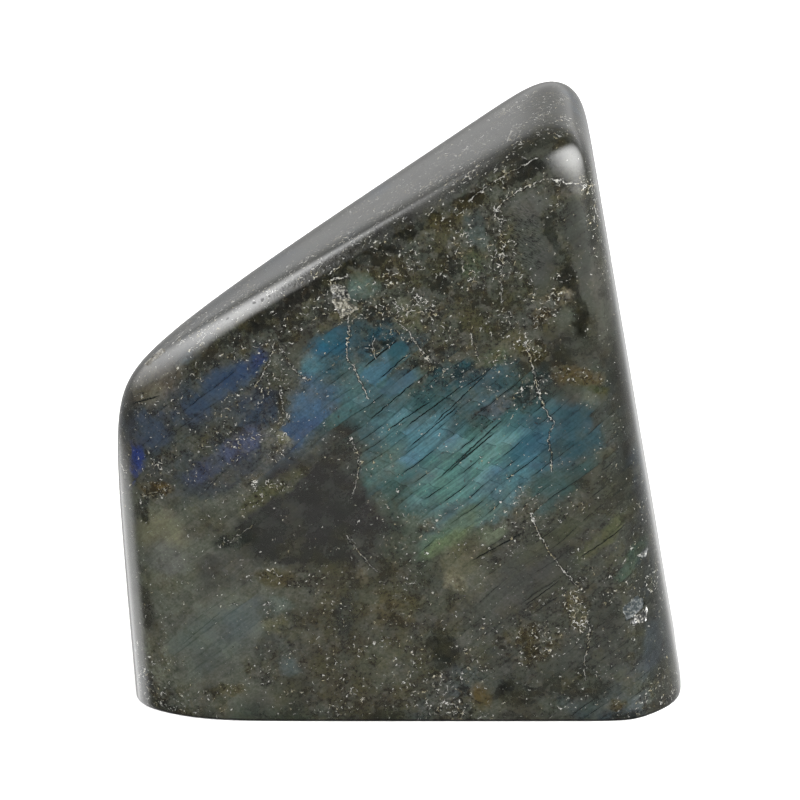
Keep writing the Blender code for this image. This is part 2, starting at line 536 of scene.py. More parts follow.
def makeGlintGroup():
    # Painted highlights, tiny bright grains and short crooked dashes where small cleavage faces catch the
    # light, and the painted shade around each dash
    group, given, out = newGroup(
        "glints", [("Place", "Vector"), ("Amount", "Float")], [("Mask", "Float"), ("Shade", "Float")]
    )
    dust = noiseAt(group, given["Place"], glintShape["dotSize"], 0.0)
    dots = fade(group, timesPlus(group, given["Amount"], 0.16, dust), *glintShape["dotLevels"])
    cells = group.nodes.new("ShaderNodeTexVoronoi")
    cells.feature = "DISTANCE_TO_EDGE"
    cells.inputs["Scale"].default_value = 1 / glintShape["cellSize"]
    group.links.new(given["Place"], cells.inputs["Vector"])
    pieces = noiseAt(group, given["Place"], glintShape["pieceSize"], 1.0)
    allowed = fade(group, timesPlus(group, given["Amount"], 0.2, pieces), *glintShape["pieceLevels"])
    white = fade(group, cells.outputs["Distance"], *glintShape["dashWidths"])
    shade = fade(group, cells.outputs["Distance"], *glintShape["shadeWidths"])
    bright = larger(group, times(group, dots, glintShape["dotStrength"]), times(group, white, allowed))
    group.links.new(bright, out["Mask"])
    group.links.new(times(group, shade, allowed), out["Shade"])
    return group


# The stone's surface

# "smoothing" is how often the solid's faces are split and smoothed, the wave fades out below
# "keepFlatBelow", and a chip's faces are split until they are about "chipFace" wide.
stone = {
    "smoothing": 2,
    "waveDepth": 0.10,
    "waveLength": 22.0,
    "keepFlatBelow": 2.0,
    "chipFace": 0.14,
    "sharpAngle": 40.0,
}

# Places where the polish broke out: "corners" run anticlockwise, across and up as the photo shows them,
# "grain" is how lumpy and crumbly the broken floor is, and "colour" is what it looks like.
chips = {
    "granularChip": {"corners": ((-12.0, 79.8), (-11.7, 76.6), (-8.8, 77.0), (-9.4, 79.6)),
                     "depth": 0.15, "grain": 1.0, "colour": "7a7971"},
    "stripedChip": {"corners": ((-11.6, 76.9), (-10.3, 73.7), (-7.5, 75.5), (-9.1, 76.9)),
                    "depth": 0.15, "grain": 0.8, "colour": "96927f"},
    "steppedChip": {"corners": ((37.3, 21.2), (37.9, 18.6), (40.7, 21.2), (40.7, 22.9), (39.7, 23.5)),
                    "depth": 0.08, "grain": 0.35, "colour": "364346"},
    "steppedChipFoot": {"corners": ((38.1, 18.4), (40.8, 18.4), (41.8, 20.4), (40.8, 20.9)),
                        "depth": 0.06, "grain": 1.0, "colour": "2c3030"},
    "steppedChipTip": {"corners": ((39.7, 30.8), (41.1, 30.6), (41.4, 32.5)),
                       "depth": 0.12, "grain": 0.9, "colour": "6a6e6c"},
    "shoulderChip": {"corners": ((-42.9, 65.7), (-42.2, 65.5), (-39.4, 68.0), (-39.9, 68.7)),
                     "depth": 0.25, "grain": 0.7, "colour": "9a9483"},
}

# How all of them break: each pair is how fine a noise is, in lumps to the metre, and how much of it there
# is. "edge" is how wide the step down is, "skin" how far below or above its corners a chip reaches, and
# "finer" how far outside it the faces are halved, once for each number. "painted" is how far outside it
# its colour reaches, which only shows where the chip does.
breaking = {
    "ragged": ((900, 0.25), (2600, 0.15)),
    "lumps": ((1600, 1.0), (4200, 0.6)),
    "lumpHeight": 0.25,
    "edge": 0.25,
    "skin": 1.5,
    "finer": (0.9, 0.5, 0.3),
    "painted": 0.3,
}

# Small black pits in the polish of the ridge, across and up, with half their width
pits = ((-29.0, 73.9, 0.35), (-24.6, 76.5, 0.35), (-23.3, 77.1, 0.45), (-22.0, 77.8, 0.35),
        (-19.8, 79.2, 0.4), (-18.6, 79.8, 0.3))


def selectFaces(obj, wanted):
    mesh = bmesh.from_edit_mesh(obj.data)
    bpy.ops.mesh.select_all(action="DESELECT")
    for face in mesh.faces:
        if wanted(face):
            face.select_set(True)
    bmesh.update_edit_mesh(obj.data)


def copyOfCad():
    # The CAD node is loose triangles, so its copy is merged, and its triangles are paired into quads
    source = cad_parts[cadNode]
    obj = link(bpy.data.objects.new("polishedStone", source.data.copy()))
    obj.data.name = "polishedStone"
    obj.data.materials.clear()
    selectOnly(obj)
    bpy.ops.object.mode_set(mode="EDIT")
    bpy.ops.mesh.select_all(action="SELECT")
    bpy.ops.mesh.remove_doubles(threshold=0.001 * mm)
    bpy.ops.mesh.customdata_custom_splitnormals_clear()
    selectFaces(obj, lambda face: face.normal.z < -0.99 and face.calc_center_median().z < 0.05 * mm)
    bpy.ops.mesh.dissolve_faces()  # the sawn base becomes one face
    bpy.ops.mesh.select_all(action="SELECT")
    bpy.ops.mesh.tris_convert_to_quads(face_threshold=math.radians(40), shape_threshold=math.radians(60))
    bpy.ops.object.mode_set(mode="OBJECT")
    return obj


def smoothAndWave(obj):
    # Hand grinding leaves a broad face a little wavy: it shows only in what the polish mirrors
    smooth = obj.modifiers.new("smooth", "SUBSURF")
    smooth.levels = smooth.render_levels = stone["smoothing"]
    bpy.ops.object.modifier_apply(modifier=smooth.name)
    upper = obj.vertex_groups.new(name="aboveBase")
    for vertex in obj.data.vertices:
        share = min(max(vertex.co.z / (stone["keepFlatBelow"] * mm) - 0.3, 0.0), 1.0)  # 0 at the very foot
        upper.add([vertex.index], share, "REPLACE")
    texture = bpy.data.textures.new("handGround", "CLOUDS")
    texture.noise_scale = stone["waveLength"] * mm
    texture.noise_depth = 0
    wave = obj.modifiers.new("wave", "DISPLACE")
    wave.texture = texture
    wave.strength = stone["waveDepth"] * mm
    wave.mid_level = 0.5
    wave.vertex_group = upper.name
    bpy.ops.object.modifier_apply(modifier=wave.name)
    obj.vertex_groups.clear()


def lumpy(point, noises):
    return sum(noise.noise(point * fineness) * share for fineness, share in noises)


def chipReach(corners, normal, point):
    # How far a point lies outside the chip's broken edge, which noise makes uneven: negative inside
    far = -1.0
    for start, end in zip(corners, corners[1:] + corners[:1]):
        outward = (end - start).cross(normal).normalized()
        far = max(far, (point - start).dot(outward))
    beyond = max(abs((point - corners[0]).dot(normal)) / mm - breaking["skin"], 0)
    return far / mm + lumpy(point, breaking["ragged"]) + beyond


def refineChip(obj, corners, normal, middle, far):
    smallest = (stone["chipFace"] * mm) ** 2
    for margin in breaking["finer"]:

        def wanted(face):
            centre = face.calc_center_median()
            near = face.calc_area() > smallest and (centre - middle).length < far
            return near and chipReach(corners, normal, centre) < margin

        bpy.ops.object.mode_set(mode="EDIT")
        selectFaces(obj, wanted)
        bpy.ops.mesh.subdivide(number_cuts=1, smoothness=0.0)
        bpy.ops.object.mode_set(mode="OBJECT")


def breakChips(obj):
    # Each chip's place gets finer faces, and then its floor is pressed in and made lumpy
    obj.data.attributes.new("chipped", "FLOAT", "POINT")
    obj.data.attributes.new("chipColour", "FLOAT_COLOR", "POINT")
    for chip in chips.values():
        hits = [onStone(obj, at) for at in chip["corners"]]
        corners = [point * mm for point, _ in hits]
        normal = sum((way for _, way in hits), Vector()).normalized()
        middle = sum(corners, Vector()) / len(corners)
        far = max((corner - middle).length for corner in corners) + mm
        refineChip(obj, corners, normal, middle, far)
        mesh = obj.data
        sunk, painted = mesh.attributes["chipped"], mesh.attributes["chipColour"]
        for vertex in mesh.vertices:
            if (vertex.co - middle).length > far:
                continue
            share = min(max(-chipReach(corners, normal, vertex.co) / breaking["edge"], 0.0), 1.0)
            if share > 0:
                lump = breaking["lumpHeight"] * chip["grain"] * lumpy(vertex.co, breaking["lumps"])
                vertex.co -= normal * share * (chip["depth"] + lump) * mm
                sunk.data[vertex.index].value = share
            if share > 0 or chipReach(corners, normal, vertex.co) < breaking["painted"]:
                painted.data[vertex.index].color = tone(chip["colour"])[:3] + (chip["grain"],)
    print("chips broken out:", len(chips))


# The stone's inside

# A tone is (colour, where it starts, where it is full, how much of it), along a cloud's height from 0 to
# 1. How much there is of the flashes depends on whether the place is in the front. The last two rows are
# heights above the ground in the same way, where it starts, where it is full and how much: a rougher rim at
# the base painted black as contact shadow, and painted shade on the foot above it.
labradorite = {
    "roughness": 0.12,
    "unevenPolish": 0.05,
    "dullRoughness": 0.18,
    "brokenRoughness": 0.4,
    "ior": 1.56,
    "light": 2.7,  # how strongly the studio lights the front
    "bumpStrength": 0.5,
    "bumpDistance": 0.02,
    "dullRidge": {"at": (9.5, 97.6), "halfSize": (11.0, 12.0, 1.6), "turn": 30.0},
    "frontFrom": -6.0,  # the front's own figure comes in between these, along Y
    "frontTo": -12.0,
    "ground": "45453c",
    "clouds": (("5b5c51", 0.35, 0.65, 1.0), ("2f302b", 0.5, 0.68, 0.8), ("74766b", 0.52, 0.72, 0.6)),
    "flashes": (("42607a", 0.52, 0.64), ("526c60", 0.54, 0.66)),
    "flashesElsewhere": 0.8,
    "flashesInFront": 0.3,
    "darkCloud": ("1f201d", 0.54, 0.66, 0.6),
    "variety": (("565339", 0.48, 0.66, 0.55), ("242520", 0.48, 0.66, 0.7), ("62675f", 0.48, 0.66, 0.45)),
    "grains": (("4e4531", 0.5, 0.66, 0.5), ("1c1d19", 0.5, 0.66, 0.55), ("6f6f66", 0.52, 0.68, 0.5)),
    "greenShift": (0.93, 1.02, 0.94, 1.0),
    "blueShift": (1.04, 0.98, 1.05, 1.0),
    "unlit": "12130f",
    "split": "121a19",
    "glints": ("dcdbd4", "b8b092"),
    "darkCrumbs": "20211d",
    "paleCrumbs": "c9c6ba",
    "pitsAndShade": "0c0c0a",
    "rimWearAndShadow": (0.7, 0.3, 0.9),
    "footShade": (3.0, 0.8, 0.3),
}

# How big the lumps of each noise in the stone are
noiseSizes = {"clouds": 9.0, "flashes": 24.0, "wander": 5.0, "jitter": 1.2, "variety": 3.6, "grains": 1.3,
              "fineGrain": 0.5, "crowd": 4.0, "pinholes": 0.5, "polish": 1.8, "bump": 0.6}


def area(at, size, turn, colour, clear=0.5, lines=0.3, **others):
    patch = {"at": at, "size": size, "turn": turn, "colour": colour, "clear": clear, "lines": lines}
    return {**patch, "bricks": 0.3, "edge": 0.4, "strength": 0.9, "square": 2.0, "taper": 0.0, **others}


# The colours inside the front, each named for what it looks like: where it is, across and up, half its
# length and height, its turn anticlockwise, its colour, how well it hides the grains, and how much of the
# cleavage it shows. "bricks" is how far the bricks differ in it, "square" is 2 for a round patch and more
# for one with corners, and "taper" narrows it upwards. No patch is less deep than this.
patchDepth = 6.0
patches = {
    # broad grounds
    "oliveField": area((9.0, 79.0), (19.0, 12.0), 20.0, "43443a", 0.0, 0.1),
    # painted shade in a broad band under the ridge's highlight
    "ridgeShadowBroad": area((-21.0, 72.0), (15.0, 3.5), 33.0, "3a3b36", 0.3, 0.2),
    "lowerLeftMilky": area((-34.0, 24.0), (15.0, 20.0), 0.0, "686b60", 0.8, 0.2),
    "lowerMiddle": area((-6.0, 15.0), (15.0, 17.0), 0.0, "454236", 0.5, 0.1),
    "lowerRight": area((27.0, 21.0), (21.0, 19.0), 0.0, "494a43", 0.6, 0.4),

    # along the ridge and at the peak
    "ridgeShadowLeft": area((-35.0, 65.0), (8.0, 1.4), 37.0, "33312a", 0.6, 0.0),
    "ridgeShadowMiddle": area((-20.0, 75.8), (12.0, 1.6), 35.0, "23231f", 0.6, 0.0),
    "ridgeShadowRight": area((-2.0, 87.2), (12.0, 1.5), 30.0, "1b1b16", 0.5, 0.0),
    "ridgeBrown": area((10.6, 94.2), (7.5, 1.2), 28.0, "231e12", 0.3, 0.0),
    "peakOlive": area((24.0, 107.6), (6.5, 3.6), 20.0, "4f4e2e", -0.6, 0.0),
    "peakOliveHigh": area((22.0, 111.6), (5.0, 2.6), 10.0, "4a4934", -0.2, 0.0),
    "greyUnderRidge": area((21.5, 102.8), (3.6, 1.4), 24.0, "5b5c54", 0.6, 0.0),
    "peakGrey": area((28.5, 101.5), (4.0, 3.4), 0.0, "42433f", 0.9, 0.0),

    # blue side
    "shoulderKhaki": area((-41.8, 62.0), (6.5, 3.2), 37.0, "877f6e", 0.5, 0.0),
    "slateBroad": area((-34.0, 55.0), (13.5, 7.5), 34.0, "43484b", 0.5, 0.4),
    "blueStreakHigh": area((-31.0, 61.0), (10.0, 2.3), 42.0, "3e4f66", 0.8, 0.5),
    "blueStreakCore": area((-27.2, 63.9), (4.6, 1.6), 44.0, "324664", 0.8, 0.5),
    "royalTip": area((-24.8, 65.9), (2.0, 1.2), 42.0, "2f3f66", 0.7),
    "leftSlate": area((-43.4, 53.6), (4.0, 3.6), 20.0, "485467", 0.7),
    "leftRoyal": area((-45.6, 47.6), (1.3, 3.0), 8.0, "34468a", 0.6),
    "brownStreak": area((-33.8, 52.4), (10.0, 1.3), 37.0, "3f3f3b", 0.2),
    "navyMiddle": area((-24.5, 57.3), (4.5, 3.0), 40.0, "35404f", 0.5, 0.2),
    "slateLow": area((-31.5, 45.4), (9.0, 3.4), 26.0, "41454b", 0.7),
    "violet": area((-27.2, 51.2), (4.4, 2.2), 37.0, "505872", 0.4, 0.2),
    "violetTail": area((-33.0, 47.0), (4.4, 1.5), 37.0, "4a5167", 0.6, 0.2),
    "greyBeside": area((-22.0, 50.5), (2.0, 2.6), 40.0, "626364", 0.2, 0.0),
    "azureColumn": area((-15.4, 58.4), (8.6, 3.3), 66.0, "496782", 0.7),
    "azureColumnFoot": area((-18.2, 52.6), (3.2, 2.2), 40.0, "435672", 0.8),
    "azureColumnHead": area((-13.8, 65.2), (3.4, 2.6), 30.0, "588490", 0.8),
    "tealSlope": area((-19.4, 48.6), (5.0, 1.3), 33.0, "48535c", 0.7),

    # head of the teal
    "headTeal": area((-7.0, 67.0), (8.5, 6.0), 20.0, "344d58", 0.5, 0.5),
    "headDeep": area((-4.6, 70.9), (4.6, 2.4), 10.0, "264550", 0.4),
    "headAzure": area((-11.8, 69.2), (3.4, 2.5), 35.0, "2b5a70", 0.8),
    "headAzureCore": area((-12.2, 69.6), (1.6, 1.3), 35.0, "2c6076", 0.8),
    "greenAbove": area((-7.0, 79.4), (3.0, 2.0), 25.0, "60736c", 0.5, 0.1),
    "khakiAbove": area((1.1, 74.6), (2.8, 3.0), 20.0, "636755", 0.1, 0.1),

    # the teal field
    "tealNeck": area((-5.5, 59.5), (7.5, 6.0), 40.0, "4c6e72", 0.8, 0.7, bricks=0.5),
    "tealDeepRight": area((9.0, 61.5), (9.0, 3.6), 26.0, "30454a", 0.3, 0.7),
    "tealBroad": area((8.0, 52.0), (17.5, 10.0), 22.0, "3d5e61", 0.9, 1.0, bricks=0.7, edge=0.3,
                      strength=0.95),
    "tealUpper": area((10.0, 58.0), (9.0, 3.6), 36.0, "425b61", 0.8, 1.0, bricks=0.6),
    "tealRight": area((23.5, 52.0), (7.0, 6.5), 36.0, "3d606b", 0.9, 0.9, bricks=0.6),
    "navyBlock": area((29.8, 54.0), (4.0, 4.8), 12.0, "344f58", 0.9, 0.4, edge=0.3, square=3.0),
    "greenDimLeft": area((-4.0, 50.5), (4.5, 5.5), 20.0, "576f6b", 0.6, 0.6),
    "tealNeckFoot": area((-2.6, 54.5), (4.5, 3.2), 40.0, "51737a", 0.8, 0.8, bricks=0.5),
    "dimLeftFoot": area((0.4, 41.4), (3.6, 2.2), 45.0, "3c4844", 0.7, 0.6),
    "tealCore": area((10.5, 47.0), (10.5, 5.2), 34.0, "5f8684", 0.95, 1.0, bricks=0.8),
    "azureCoreLeft": area((4.2, 52.6), (5.2, 3.2), 42.0, "5a8190", 0.95, 0.9, bricks=0.6),
    "tealCoreRight": area((19.6, 47.2), (5.4, 3.4), 38.0, "4a7080", 0.95, 1.0, bricks=0.8),
    "azureSpotRight": area((21.0, 51.5), (3.6, 2.0), 42.0, "3b6070", 0.95, 0.8, bricks=0.6),
    "mauve": area((14.4, 57.3), (3.0, 1.3), 40.0, "4c565b", 0.4, 0.7),
    "slateNotch": area((20.5, 60.6), (4.5, 1.8), 30.0, "333d3b", 0.3, 0.6),
    "tealIsland": area((17.6, 63.6), (3.4, 1.4), 36.0, "375156", 0.5, 0.4),
    "tealTopLeft": area((8.4, 64.5), (2.6, 2.0), 30.0, "28484f", 0.4, 0.4),
    "blockPeriwinkle": area((-4.4, 64.6), (3.0, 1.4), 44.0, "4a6f81", 1.0, 0.2, edge=0.15, square=5.0),
    "blockAzure": area((-0.9, 67.6), (2.0, 1.2), 44.0, "305560", 1.0, 0.2, edge=0.2, square=4.0),
    "blockSlate": area((-0.8, 62.6), (3.4, 1.7), 44.0, "44606e", 1.0, 0.2, edge=0.2, square=4.0),
    "blackSpecksA": area((-4.6, 68.4), (2.0, 1.0), 20.0, "1b211f", 0.3, 0.3),
    "blackSpecksB": area((3.9, 65.4), (3.4, 1.8), 15.0, "161f22", 0.3, 0.5),
    "tealGreenLow": area((13.0, 39.8), (10.0, 3.0), 36.0, "55767c", 0.9, 1.0, bricks=0.5),
    "greenRight": area((25.5, 43.4), (5.5, 2.6), 38.0, "425a59", 0.9, 0.8),
    "greenLow": area((9.5, 36.4), (7.5, 2.2), 36.0, "5a6e5c", 0.9, 0.8),
    "yellowGreen": area((8.6, 34.2), (4.0, 1.6), 36.0, "697759", 0.8, 0.5),
    "greenFoot": area((12.8, 33.6), (3.0, 2.0), 36.0, "6a745f", 0.8, 0.4),
    "greyFoot": area((12.4, 25.4), (2.6, 3.4), 10.0, "63645a", 0.6, 0.1),
    "khakiFoot": area((10.0, 30.4), (4.6, 3.2), 36.0, "62614e", 0.6, 0.2),
    "beigeFoot": area((8.8, 26.2), (1.8, 2.2), 20.0, "827f68", 0.3, 0.0),

    # beside the stepped chip
    "chipScribbles": area((42.0, 25.6), (2.4, 1.4), 50.0, "4a5052", -0.7, 0.0),
    "chipFacet": area((39.8, 30.6), (1.9, 1.3), 25.0, "40505a", 0.6, 0.0, edge=0.25),

    # upper right
    "goldRidge": area((7.6, 91.2), (4.8, 2.0), 30.0, "4a4630", 0.2, 0.0),
    "greyTealSpot": area((12.0, 89.2), (1.7, 3.6), 8.0, "55605d", 0.3, 0.0),
    "greenSpot": area((11.0, 83.4), (2.0, 2.6), 8.0, "4a5340", 0.1, 0.0),
    "brownSpot": area((-2.0, 82.6), (3.6, 2.4), 20.0, "413d2c", 0.1, 0.0),
    "darkMiddle": area((5.5, 82.0), (3.8, 4.5), 20.0, "272822", 0.4, 0.0),
    "oliveLow": area((14.5, 75.0), (5.0, 5.0), 20.0, "3a3a2c", 0.4, 0.0),
    "greenLowRight": area((14.6, 66.8), (3.0, 1.6), 20.0, "4e5848", 0.1, 0.1),
    "greyColumn": area((21.6, 86.6), (2.6, 8.5), 14.0, "4d504b", 1.0, 0.0),
    "greyUnderPeak": area((20.4, 94.0), (3.6, 2.2), 14.0, "5b5c57", 0.9, 0.0),
    "greyBand": area((29.4, 86.0), (2.4, 10.0), 12.0, "494b46", 1.0, 0.0),
    "darkLineHigh": area((25.0, 88.2), (0.9, 4.5), 16.0, "2f322c", 0.9, 0.0),
    "darkLineLow": area((28.4, 76.6), (1.5, 7.5), 16.0, "191912", 0.8, 0.0),
    "greyEdge": area((33.0, 78.0), (1.5, 9.0), 8.0, "6a6a61", 0.8, 0.0),
    "brushedRight": area((35.4, 55.0), (2.2, 9.0), 8.0, "404440", 0.9, 0.9),
    "darkUnderPeak": area((20.5, 99.6), (4.6, 1.8), 24.0, "21221e", 0.7, 0.0),
    "orangeLeft": area((21.0, 68.0), (2.4, 1.8), -30.0, "494427", 0.1, 0.1),
    "orangeRight": area((28.6, 63.6), (4.6, 1.7), -18.0, "50442c", 0.2, 0.1),
    "yellowGreenEdge": area((32.6, 60.6), (1.7, 0.9), -20.0, "363b25", 0.5, 0.1),
    "brownAboveBlue": area((-21.3, 69.4), (3.6, 2.0), 35.0, "413f37", 0.0),

    # dark window and its surroundings
    "windowGrey": area((-9.8, 47.5), (3.4, 6.0), 6.0, "41413c", 0.7, 0.1),
    "darkWindow": area((-16.0, 39.4), (11.5, 9.6), 8.0, "3a3a38", 1.0, 0.0, edge=0.16, strength=1.0,
                       square=2.6, taper=0.5),
    "windowTail": area((-27.6, 34.6), (4.6, 2.4), 25.0, "32332f", 0.8, 0.0),
    "windowCorner": area((-7.8, 31.6), (4.4, 2.6), -20.0, "3b3b37", 0.7, 0.0),
    "windowFoot": area((-16.6, 31.4), (6.5, 2.2), 0.0, "363633", 0.8, 0.0),
    "oliveGold": area((-22.0, 42.9), (7.0, 1.5), 35.0, "53543f", 0.1, 0.1),
    "khakiMilky": area((-40.8, 35.0), (4.6, 4.2), 20.0, "7c7b65", 0.9, 0.1),
    "oliveCorner": area((-33.0, 36.4), (3.6, 2.6), 20.0, "57584d", 0.5, 0.1),
    "darkGreenCorner": area((-28.0, 33.6), (3.8, 1.6), 15.0, "2d312c", 0.5, 0.1),
    "greyMilkyLeft": area((-40.0, 30.6), (3.8, 2.6), 0.0, "6d7069", 0.9, 0.2),
    "greenishLeft": area((-41.0, 26.0), (3.4, 2.2), 0.0, "6b6d5c", 0.7, 0.1),
    "greyMilkyMiddle": area((-30.0, 28.0), (5.5, 3.6), 10.0, "4f504b", 0.8, 0.2),
    "rustSpot": area((-41.5, 43.3), (3.2, 1.2), 12.0, "6e5e38", 0.0, 0.0),
    "darkEdgeMark": area((-43.6, 39.5), (0.9, 2.4), 0.0, "30312c", 0.3, 0.0),
    "darkEdgeLow": area((-43.3, 20.6), (1.0, 4.4), 6.0, "3e3e36", 0.7, 0.0),
    "greyBlueBroad": area((-31.5, 15.6), (8.6, 5.4), 30.0, "5f6761", 0.95, 0.4),
    "greyBlueCore": area((-28.4, 18.6), (4.4, 2.6), 35.0, "5a6363", 0.95, 0.3),
    "khakiLowLeft": area((-42.0, 12.0), (2.4, 4.6), 8.0, "7a7b6c", 0.4, 0.0),
    "brownGoldHigh": area((-21.6, 26.8), (3.8, 1.6), 0.0, "534e39", 0.3, 0.0),
    "greenGreySpot": area((-21.4, 21.6), (2.8, 1.8), 0.0, "5f6860", 0.5, 0.0),
    "oliveSpot": area((-21.4, 18.0), (2.0, 1.8), 0.0, "66654f", 0.2, 0.0),
    "greyBlueSpot": area((-19.0, 10.3), (1.8, 1.8), 0.0, "545d5b", 0.6, 0.0),
    "brownSpotLow": area((-24.8, 9.5), (1.8, 1.2), 0.0, "4f4935", 0.0, 0.0),
    "goldFootLeft": area((-30.8, 5.4), (3.6, 1.3), 10.0, "56533f", 0.2, 0.0),
    "darkStem": area((-24.0, 12.5), (1.0, 5.0), -16.0, "454741", 0.7, 0.0),
    "darkMiddleColumn": area((-9.6, 19.6), (1.5, 6.0), -6.0, "3c3d38", 0.7, 0.0),
    "beigeSpot": area((-7.2, 27.8), (1.2, 2.0), 8.0, "676250", 0.1, 0.0),
    "brownMiddle": area((-2.0, 21.0), (4.2, 3.4), 10.0, "514c3b", 0.2, 0.0),
    "greenKhakiMiddle": area((-2.6, 10.8), (4.2, 4.4), 0.0, "56574a", 0.5, 0.0),

    # lower right
    "smoothGrey": area((20.5, 26.0), (8.0, 4.4), 36.0, "4a4b47", 0.95, 0.6),
    "smoothGreyLight": area((15.6, 21.4), (3.6, 2.2), 36.0, "51524c", 0.9, 0.3),
    "oliveBand": area((26.0, 34.4), (9.0, 1.8), 40.0, "505243", 0.8, 0.6),
    "khakiStripe": area((32.6, 33.0), (6.0, 1.3), 48.0, "585b43", 0.6, 0.4),
    "darkGreenRight": area((36.0, 43.5), (2.6, 5.0), 8.0, "3d3e36", 0.8, 0.8),
    "greenStripeRight": area((38.4, 29.6), (3.4, 1.3), 50.0, "48584c", 0.6, 0.3),
    "darkBlotchHigh": area((7.0, 13.2), (2.5, 4.6), 8.0, "262722", 0.8, 0.0),
    "darkBlotchLow": area((19.4, 5.4), (4.0, 2.6), 0.0, "1b1c19", 0.8, 0.0),
    "brownGranular": area((21.6, 14.6), (5.2, 3.4), 0.0, "453f2c", 0.0, 0.0),
    "orangeBrown": area((13.0, 4.8), (1.9, 2.4), 10.0, "57492b", 0.5, 0.0),
    "tanFan": area((29.4, 20.6), (1.9, 3.4), 8.0, "5c563f", -0.6, 0.0, edge=0.3),
    "beigeRough": area((25.6, 77.4), (2.6, 1.2), 28.0, "978f78", -0.7, 0.0, edge=0.3),
    "beigeOval": area((-20.3, 52.2), (0.9, 1.3), -20.0, "8d8a78", -0.5, 0.0, edge=0.3),
    "brownUnderRough": area((22.4, 73.6), (2.4, 1.6), 30.0, "3e3725", -0.2, 0.0),
    "darkRightHigh": area((34.6, 18.6), (2.4, 3.8), 6.0, "393a35", 0.8, 0.1),
    "darkRightLow": area((29.5, 6.6), (5.5, 2.8), 0.0, "37382f", 0.6, 0.1),
    "goldFootRight": area((36.4, 3.2), (1.8, 1.1), 0.0, "40361f", 0.2, 0.0),
    "blueGreyRight": area((42.8, 14.6), (2.2, 5.4), -6.0, "545c60", 0.9, 0.1),
}

# Ripples like brush strokes in the grey column under the peak: "strokes" is how fine they are along X, Y
# and Z, and "depth" how strongly they show.
hatching = {"at": (20.4, 88.0), "halfSize": (2.8, 8.0, 6.5), "lean": 14.0, "turn": -30.0, "depth": 2.8,
            "strokes": (1.3, 1.3, 5.0)}


def crack(start, end, width=0.18, strength=0.9, **others):
    return {"line": (start, end), "width": width, "strength": strength, "bow": 0.0, "sway": 0.0, "halo": 1.0,
            **others}


# Healed cracks on the front, from one end to the other, across and up, with their width and how white
# they are. "bow" is how far the middle lies to one side, and a negative one lifts a line that runs to the
# right. "sway" is how far an S swings to both sides, and "halo" how far around the grains crowd.
cracks = {
    "chipStreakHigh": crack((-12.2, 81.9), (-10.0, 83.4), 0.3, 1.0, halo=0.1),
    "chipStreakMiddle": crack((-12.0, 80.7), (-8.8, 81.7), 0.34, 1.0, halo=0.1),
    "chipStreakLow": crack((-12.0, 79.9), (-10.8, 80.4), 0.3, 0.9, halo=0.1),
    "belowChip": crack((-8.9, 73.0), (-8.4, 66.0), 0.22, bow=0.4, sway=0.3),
    "intoTeal": crack((-8.4, 66.0), (-5.4, 59.5), 0.22),
    "hook": crack((-4.3, 70.7), (-4.0, 66.8), 0.2, bow=0.7),
    "acrossHeadA": crack((-1.7, 77.0), (1.2, 74.9), 0.15),
    "acrossHeadB": crack((-1.2, 73.6), (4.9, 66.8), bow=-0.3, sway=0.3),
    "darkFork": crack((11.7, 72.7), (13.1, 66.4), bow=0.5),
    "peakArcLeft": crack((14.9, 92.2), (24.0, 98.6), 0.22, 1.0, bow=-1.0),
    "peakArcRight": crack((24.0, 98.6), (32.2, 95.0), 0.2, 1.0, bow=-1.8),
    "columnCrack": crack((15.6, 92.6), (16.6, 76.6), 0.13, 0.6, bow=-0.6, sway=0.3),
    "longCrackHigh": crack((20.2, 70.0), (25.6, 55.3), 0.24, 1.0, bow=0.5, sway=0.4),
    "longCrackLow": crack((25.6, 55.3), (25.0, 46.2), 0.18, 0.8, bow=0.5, sway=-0.4),
    "lowerCrackHigh": crack((21.5, 39.3), (30.1, 25.3), 0.2, 0.9, bow=0.9),
    "lowerCrackLow": crack((31.1, 20.0), (31.6, 7.6), 0.2, 0.7, bow=-0.3, sway=0.5),
    "leftCrackA": crack((-21.0, 69.8), (-24.6, 61.6), 0.2, 0.8, bow=-0.4),
    "leftCrackB": crack((-20.2, 61.8), (-18.6, 55.4), 0.18, 0.7, bow=0.4),
    "leftCrackC": crack((-20.4, 69.5), (-15.4, 62.8), 0.16, 0.6, bow=0.6),
    "windowCrack": crack((-9.0, 53.0), (-8.6, 40.8), 0.16, 0.7, bow=-1.6, sway=0.3),
    "windowStreak": crack((-9.4, 34.8), (-3.9, 27.9), 0.2, 0.8, bow=0.2),
    "dottedEdge": crack((-31.0, 32.7), (-24.3, 37.2), 0.12, 0.6),
    "shoulderDash": crack((-44.6, 60.2), (-43.0, 61.0), 0.14, 0.8, halo=0.3),
    "dashA": crack((-29.3, 22.0), (-27.4, 22.2), 0.14, halo=0.3),
    "dashB": crack((-23.5, 21.7), (-22.3, 22.1), 0.12, halo=0.3),
    "rustGrains": crack((-44.0, 42.0), (-38.8, 43.6), 0.2, 0.6, halo=1.2),
    "creamRidgeLine": crack((10.8, 94.4), (22.5, 102.2), 0.2, 0.8, bow=-0.6, halo=0.3),
}


def split(start, end, width=0.17, strength=0.9):
    return {"line": (start, end), "width": width, "strength": strength}


